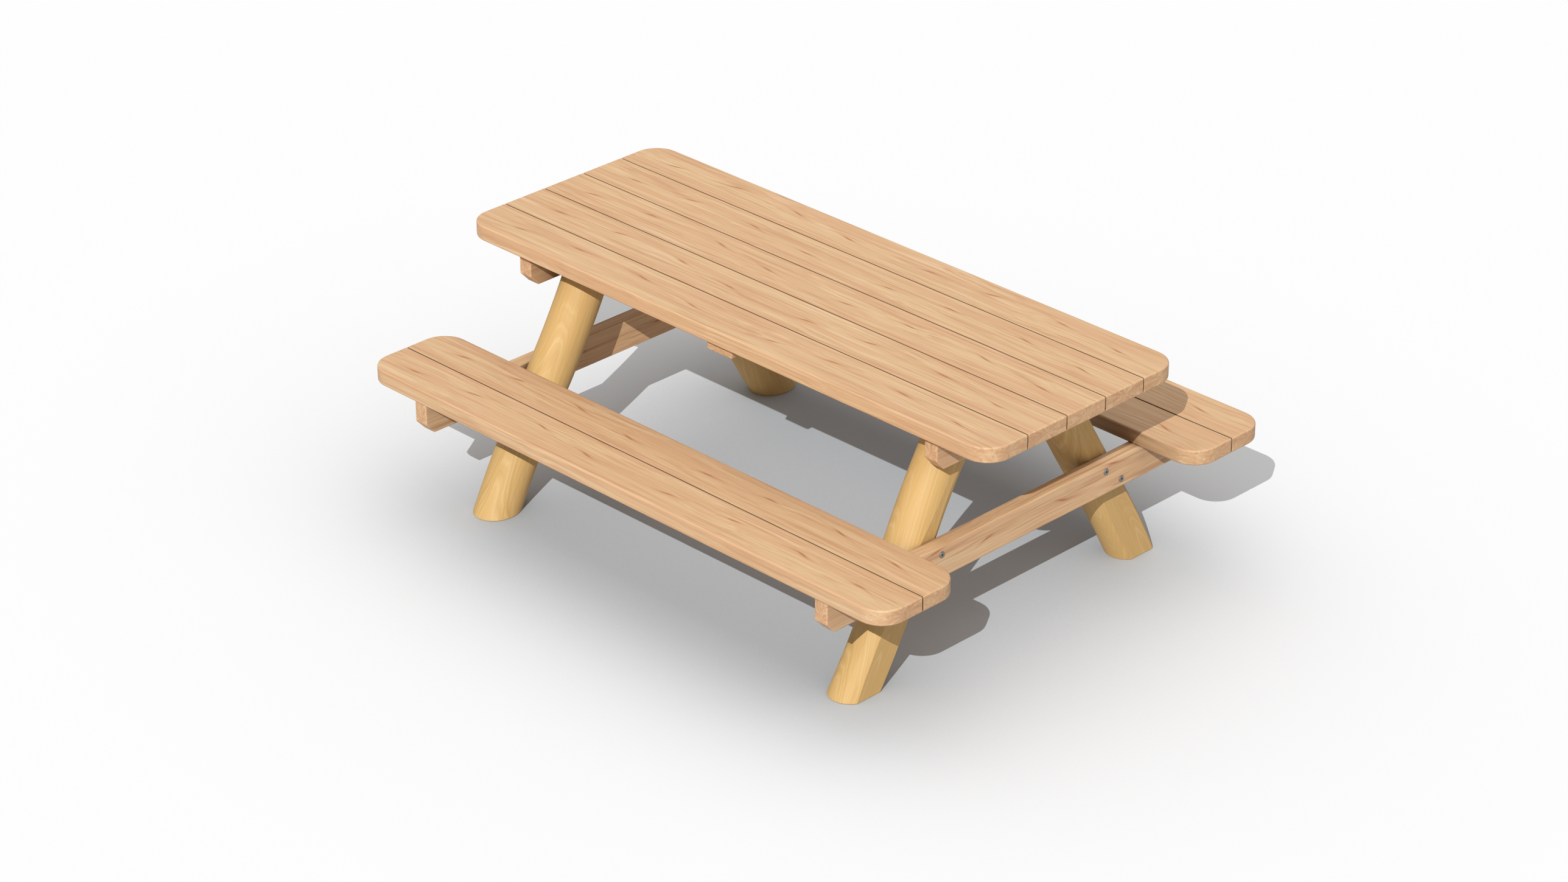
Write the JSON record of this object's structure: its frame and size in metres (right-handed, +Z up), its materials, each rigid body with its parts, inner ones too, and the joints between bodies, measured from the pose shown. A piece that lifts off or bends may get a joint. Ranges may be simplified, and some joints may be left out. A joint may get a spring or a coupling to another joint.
{
  "type": "picnic table",
  "caption": "Picnic table with a planked top, a plank bench on each long side, leaning round log legs, and bolted cross bearers with slanted ends.",
  "frame": {"origin": "on the ground under the middle of the table top", "axes": "+X along the planks, +Y across them towards the back bench, +Z up; the two long sides are alike"},
  "size_m": [2, 1.51, 0.75],
  "materials": {
    "plank_wood": "planed pale softwood, oiled, matt",
    "bearer_wood": "planed pale softwood, oiled, matt",
    "log_wood": "peeled round log, smooth, yellow, matt",
    "bolt_steel": "dull dark zinc",
    "screw_steel": "stainless, satin"
  },
  "bodies": {
    "root": {"top_plank_1": "plank_wood", "top_plank_2": "plank_wood", "top_plank_3": "plank_wood", "top_plank_4": "plank_wood", "top_plank_5": "plank_wood", "front_seat_plank_inner": "plank_wood", "front_seat_plank_outer": "plank_wood", "back_seat_plank_inner": "plank_wood", "back_seat_plank_outer": "plank_wood", "top_bearer_left": "bearer_wood", "seat_bearer_left": "bearer_wood", "top_bearer_right": "bearer_wood", "seat_bearer_right": "bearer_wood", "top_batten_middle": "bearer_wood", "leg_front_left": "log_wood", "leg_front_right": "log_wood", "leg_back_left": "log_wood", "leg_back_right": "log_wood", "top_bolts_left": "bolt_steel", "seat_bolts_left": "bolt_steel", "top_screws_left": "screw_steel", "front_seat_screws_left": "screw_steel", "back_seat_screws_left": "screw_steel", "top_bolts_right": "bolt_steel", "seat_bolts_right": "bolt_steel", "top_screws_right": "screw_steel", "front_seat_screws_right": "screw_steel", "back_seat_screws_right": "screw_steel", "batten_screws": "screw_steel"}
  },
  "joints": []
}
